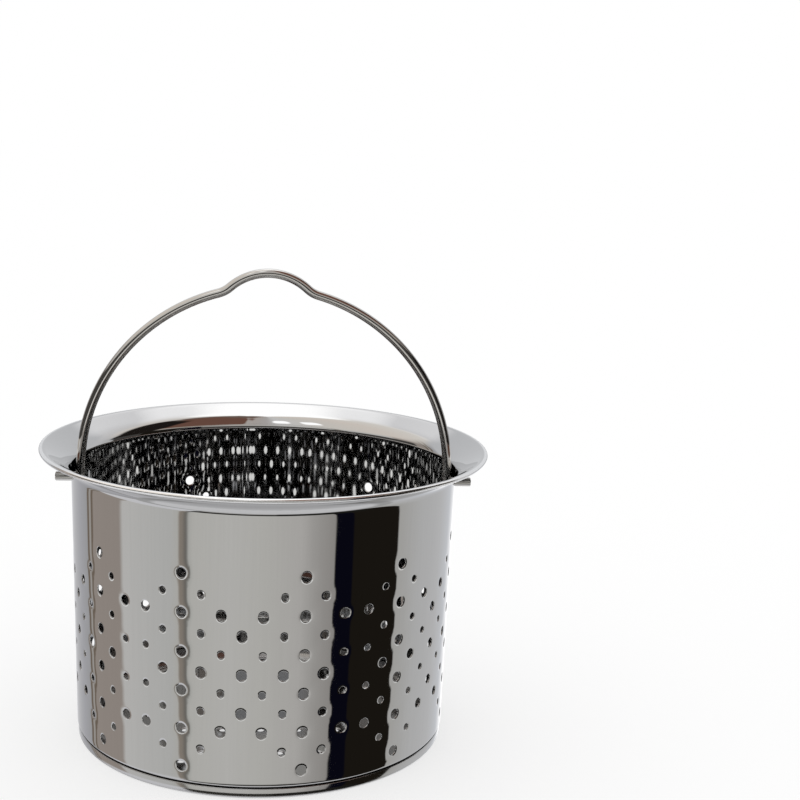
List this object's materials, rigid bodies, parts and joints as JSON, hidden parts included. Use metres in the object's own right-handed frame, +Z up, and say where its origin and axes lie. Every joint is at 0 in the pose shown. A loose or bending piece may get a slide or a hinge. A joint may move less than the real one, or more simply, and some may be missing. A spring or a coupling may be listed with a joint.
{
  "type": "basket strainer",
  "caption": "Round perforated metal strainer basket with a flared rolled rim, a seamed perforated base and a swinging wire bail.",
  "frame": {"origin": "centre of the base's underside, on the plane that the foot ring stands on", "axes": "+Z up through the basket's axis, X along the bail's hinge line, -Y towards the front"},
  "size_m": [0.145, 0.145, 0.1535],
  "materials": {
    "polished_sheet": "mirror-polished stainless sheet",
    "base_sheet": "polished stainless sheet with faint turning lines",
    "bail_wire": "bright drawn stainless wire"
  },
  "bodies": {
    "basket": {"wall_shell": "polished_sheet", "base_pan": "base_sheet"},
    "bail": {"bail": "bail_wire"}
  },
  "joints": [
    {"name": "bail_swing", "type": "hinge", "parent": "basket", "child": "bail", "pos_m": [0, 0, 0.0842], "axis": [1, 0, 0], "range_deg": [-72, 72]}
  ]
}
